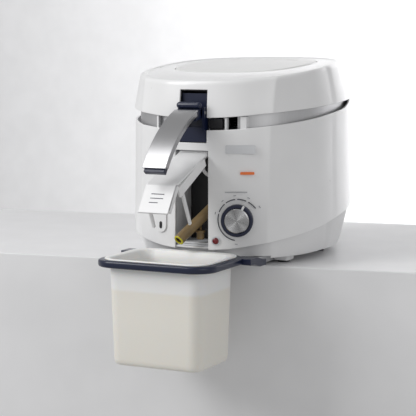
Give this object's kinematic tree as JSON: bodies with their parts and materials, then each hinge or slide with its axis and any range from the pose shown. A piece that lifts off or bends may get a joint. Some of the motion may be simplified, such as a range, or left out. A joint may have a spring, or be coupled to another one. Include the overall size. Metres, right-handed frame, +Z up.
{
  "type": "deep fryer",
  "caption": "Compact oval deep fryer with turning basket, hinged lid, fold-down lever, drain door with oil hose, and an oil container hung in a frame at the front.",
  "frame": {"origin": "centre of the oval body, on the plane of the feet", "axes": "+X to the right seen from the front, -Y out of the front with the knob, +Z up"},
  "size_m": [0.275, 0.4672, 0.3837],
  "materials": {
    "white_body": "moulded white, fine satin gloss",
    "white_matte": "moulded white",
    "grey_plastic": "moulded light grey",
    "navy_plastic": "moulded dark navy",
    "black_plastic": "moulded black",
    "silver_paint": "satin silver",
    "bright_steel": "bright drawn",
    "coated_aluminium": "dark non-stick coat",
    "aluminium": "plain",
    "brass": "turned",
    "rubber": "moulded",
    "hose_silicone": "translucent amber silicone",
    "filter_foam": "open foam",
    "cover_plastic": "moulded off-white",
    "container_plastic": "milky, half clear",
    "lamp_red": "dark red lens",
    "orange_print": "orange",
    "ink": "dark raised line",
    "gear_plastic": "moulded natural"
  },
  "bodies": {
    "fryer": {"body_shell": "white_body", "front_posts": "white_body", "collar": "grey_plastic", "top_deck": "grey_plastic", "base_shell": "white_matte", "base_grille": "grey_plastic", "feet": "rubber", "tray_guides": "grey_plastic", "base_screws": "bright_steel", "rear_housing": "white_body", "cord_gland": "black_plastic", "hinge_pin": "bright_steel", "compartment_wall": "grey_plastic", "compartment_back": "black_plastic", "hose_hook": "white_matte", "hook_ring": "black_plastic", "door_catch": "white_body", "front_pins": "bright_steel", "bowl": "coated_aluminium", "heater": "bright_steel", "drain_outlet": "brass", "shaft_seal": "rubber", "motor": "bright_steel", "thermostat": "grey_plastic", "lamp_bezel": "grey_plastic", "lamp_lens": "lamp_red", "dial_scale": "ink", "badge_plate": "grey_plastic", "emblem": "orange_print", "handle_bracket": "navy_plastic", "lift_rails": "bright_steel", "catch_housing": "black_plastic", "drain_hose": "hose_silicone", "hose_stopper": "hose_silicone"},
    "lid": {"lid_shell": "white_body", "lid_hinge_arms": "white_body", "lid_liner": "white_matte", "lid_gasket": "rubber", "lid_hook": "white_matte", "filter_tray": "white_matte", "filter_pad": "filter_foam"},
    "filter_cover": {"filter_cover": "cover_plastic"},
    "release_button": {"release_button": "black_plastic"},
    "handle": {"handle_arm": "navy_plastic", "handle_cap": "silver_paint", "handle_bar": "navy_plastic"},
    "carriage": {"lift_carriage": "black_plastic", "carrier_ring": "bright_steel"},
    "basket": {"basket": "aluminium", "basket_hub": "black_plastic"},
    "drive": {"drive_spindle": "bright_steel", "drive_gear": "gear_plastic"},
    "pinion": {"motor_pinion": "gear_plastic"},
    "door": {"drain_door": "white_body", "door_fingers": "white_matte"},
    "knob": {"knob_ring": "navy_plastic", "knob_disc": "silver_paint", "knob_shaft": "bright_steel"},
    "tray": {"tray_frame": "navy_plastic"},
    "container": {"oil_container": "container_plastic"}
  },
  "joints": [
    {"name": "lid_hinge", "type": "hinge", "parent": "fryer", "child": "lid", "pos_m": [0, 0.166, 0.217], "axis": [-1, 0, 0], "range_deg": [0, 75]},
    {"name": "cover_lift", "type": "slide", "parent": "lid", "child": "filter_cover", "axis": [0, 0, 1], "range_m": [0, 0.02]},
    {"name": "button_press", "type": "slide", "parent": "fryer", "child": "release_button", "axis": [0, 1, 0], "range_m": [0, 0.003], "stiffness_N_per_m": 400, "springref_m": -0.002},
    {"name": "handle_fold", "type": "hinge", "parent": "fryer", "child": "handle", "pos_m": [0.001, -0.16, 0.199], "axis": [-1, 0, 0], "range_deg": [0, 62]},
    {"name": "basket_lift", "type": "slide", "parent": "fryer", "child": "carriage", "axis": [0, -0.1045, 0.9945], "range_m": [0, 0.02]},
    {"name": "basket_spin", "type": "hinge", "parent": "carriage", "child": "basket", "pos_m": [0, 0.012, 0.18826], "axis": [0, -0.1045, 0.9945], "continuous": true},
    {"name": "drive_spin", "type": "hinge", "parent": "fryer", "child": "drive", "pos_m": [0, 0.012, 0.18826], "axis": [0, -0.1045, 0.9945], "continuous": true},
    {"name": "pinion_spin", "type": "hinge", "parent": "fryer", "child": "pinion", "pos_m": [0, 0.06741, 0.09353], "axis": [0, -0.1045, 0.9945], "continuous": true},
    {"name": "door_hinge", "type": "hinge", "parent": "fryer", "child": "door", "pos_m": [0, -0.15, 0.147], "axis": [1, 0, 0], "range_deg": [-3, 38]},
    {"name": "knob_turn", "type": "hinge", "parent": "fryer", "child": "knob", "pos_m": [0.0614, -0.15016, 0.062], "axis": [0.3519, -0.936, 0], "range_deg": [-32, 202]},
    {"name": "tray_slide", "type": "slide", "parent": "fryer", "child": "tray", "axis": [0, -1, 0], "range_m": [0, 0.06]},
    {"name": "container_lift", "type": "slide", "parent": "tray", "child": "container", "axis": [0, 0, 1], "range_m": [0, 0.013]}
  ],
  "couplings": [
    {"joint": "basket_lift", "follows": "handle_fold", "m_per_rad": 0.01839},
    {"joint": "drive_spin", "follows": "basket_spin", "ratio": 1},
    {"joint": "pinion_spin", "follows": "basket_spin", "ratio": -3}
  ]
}
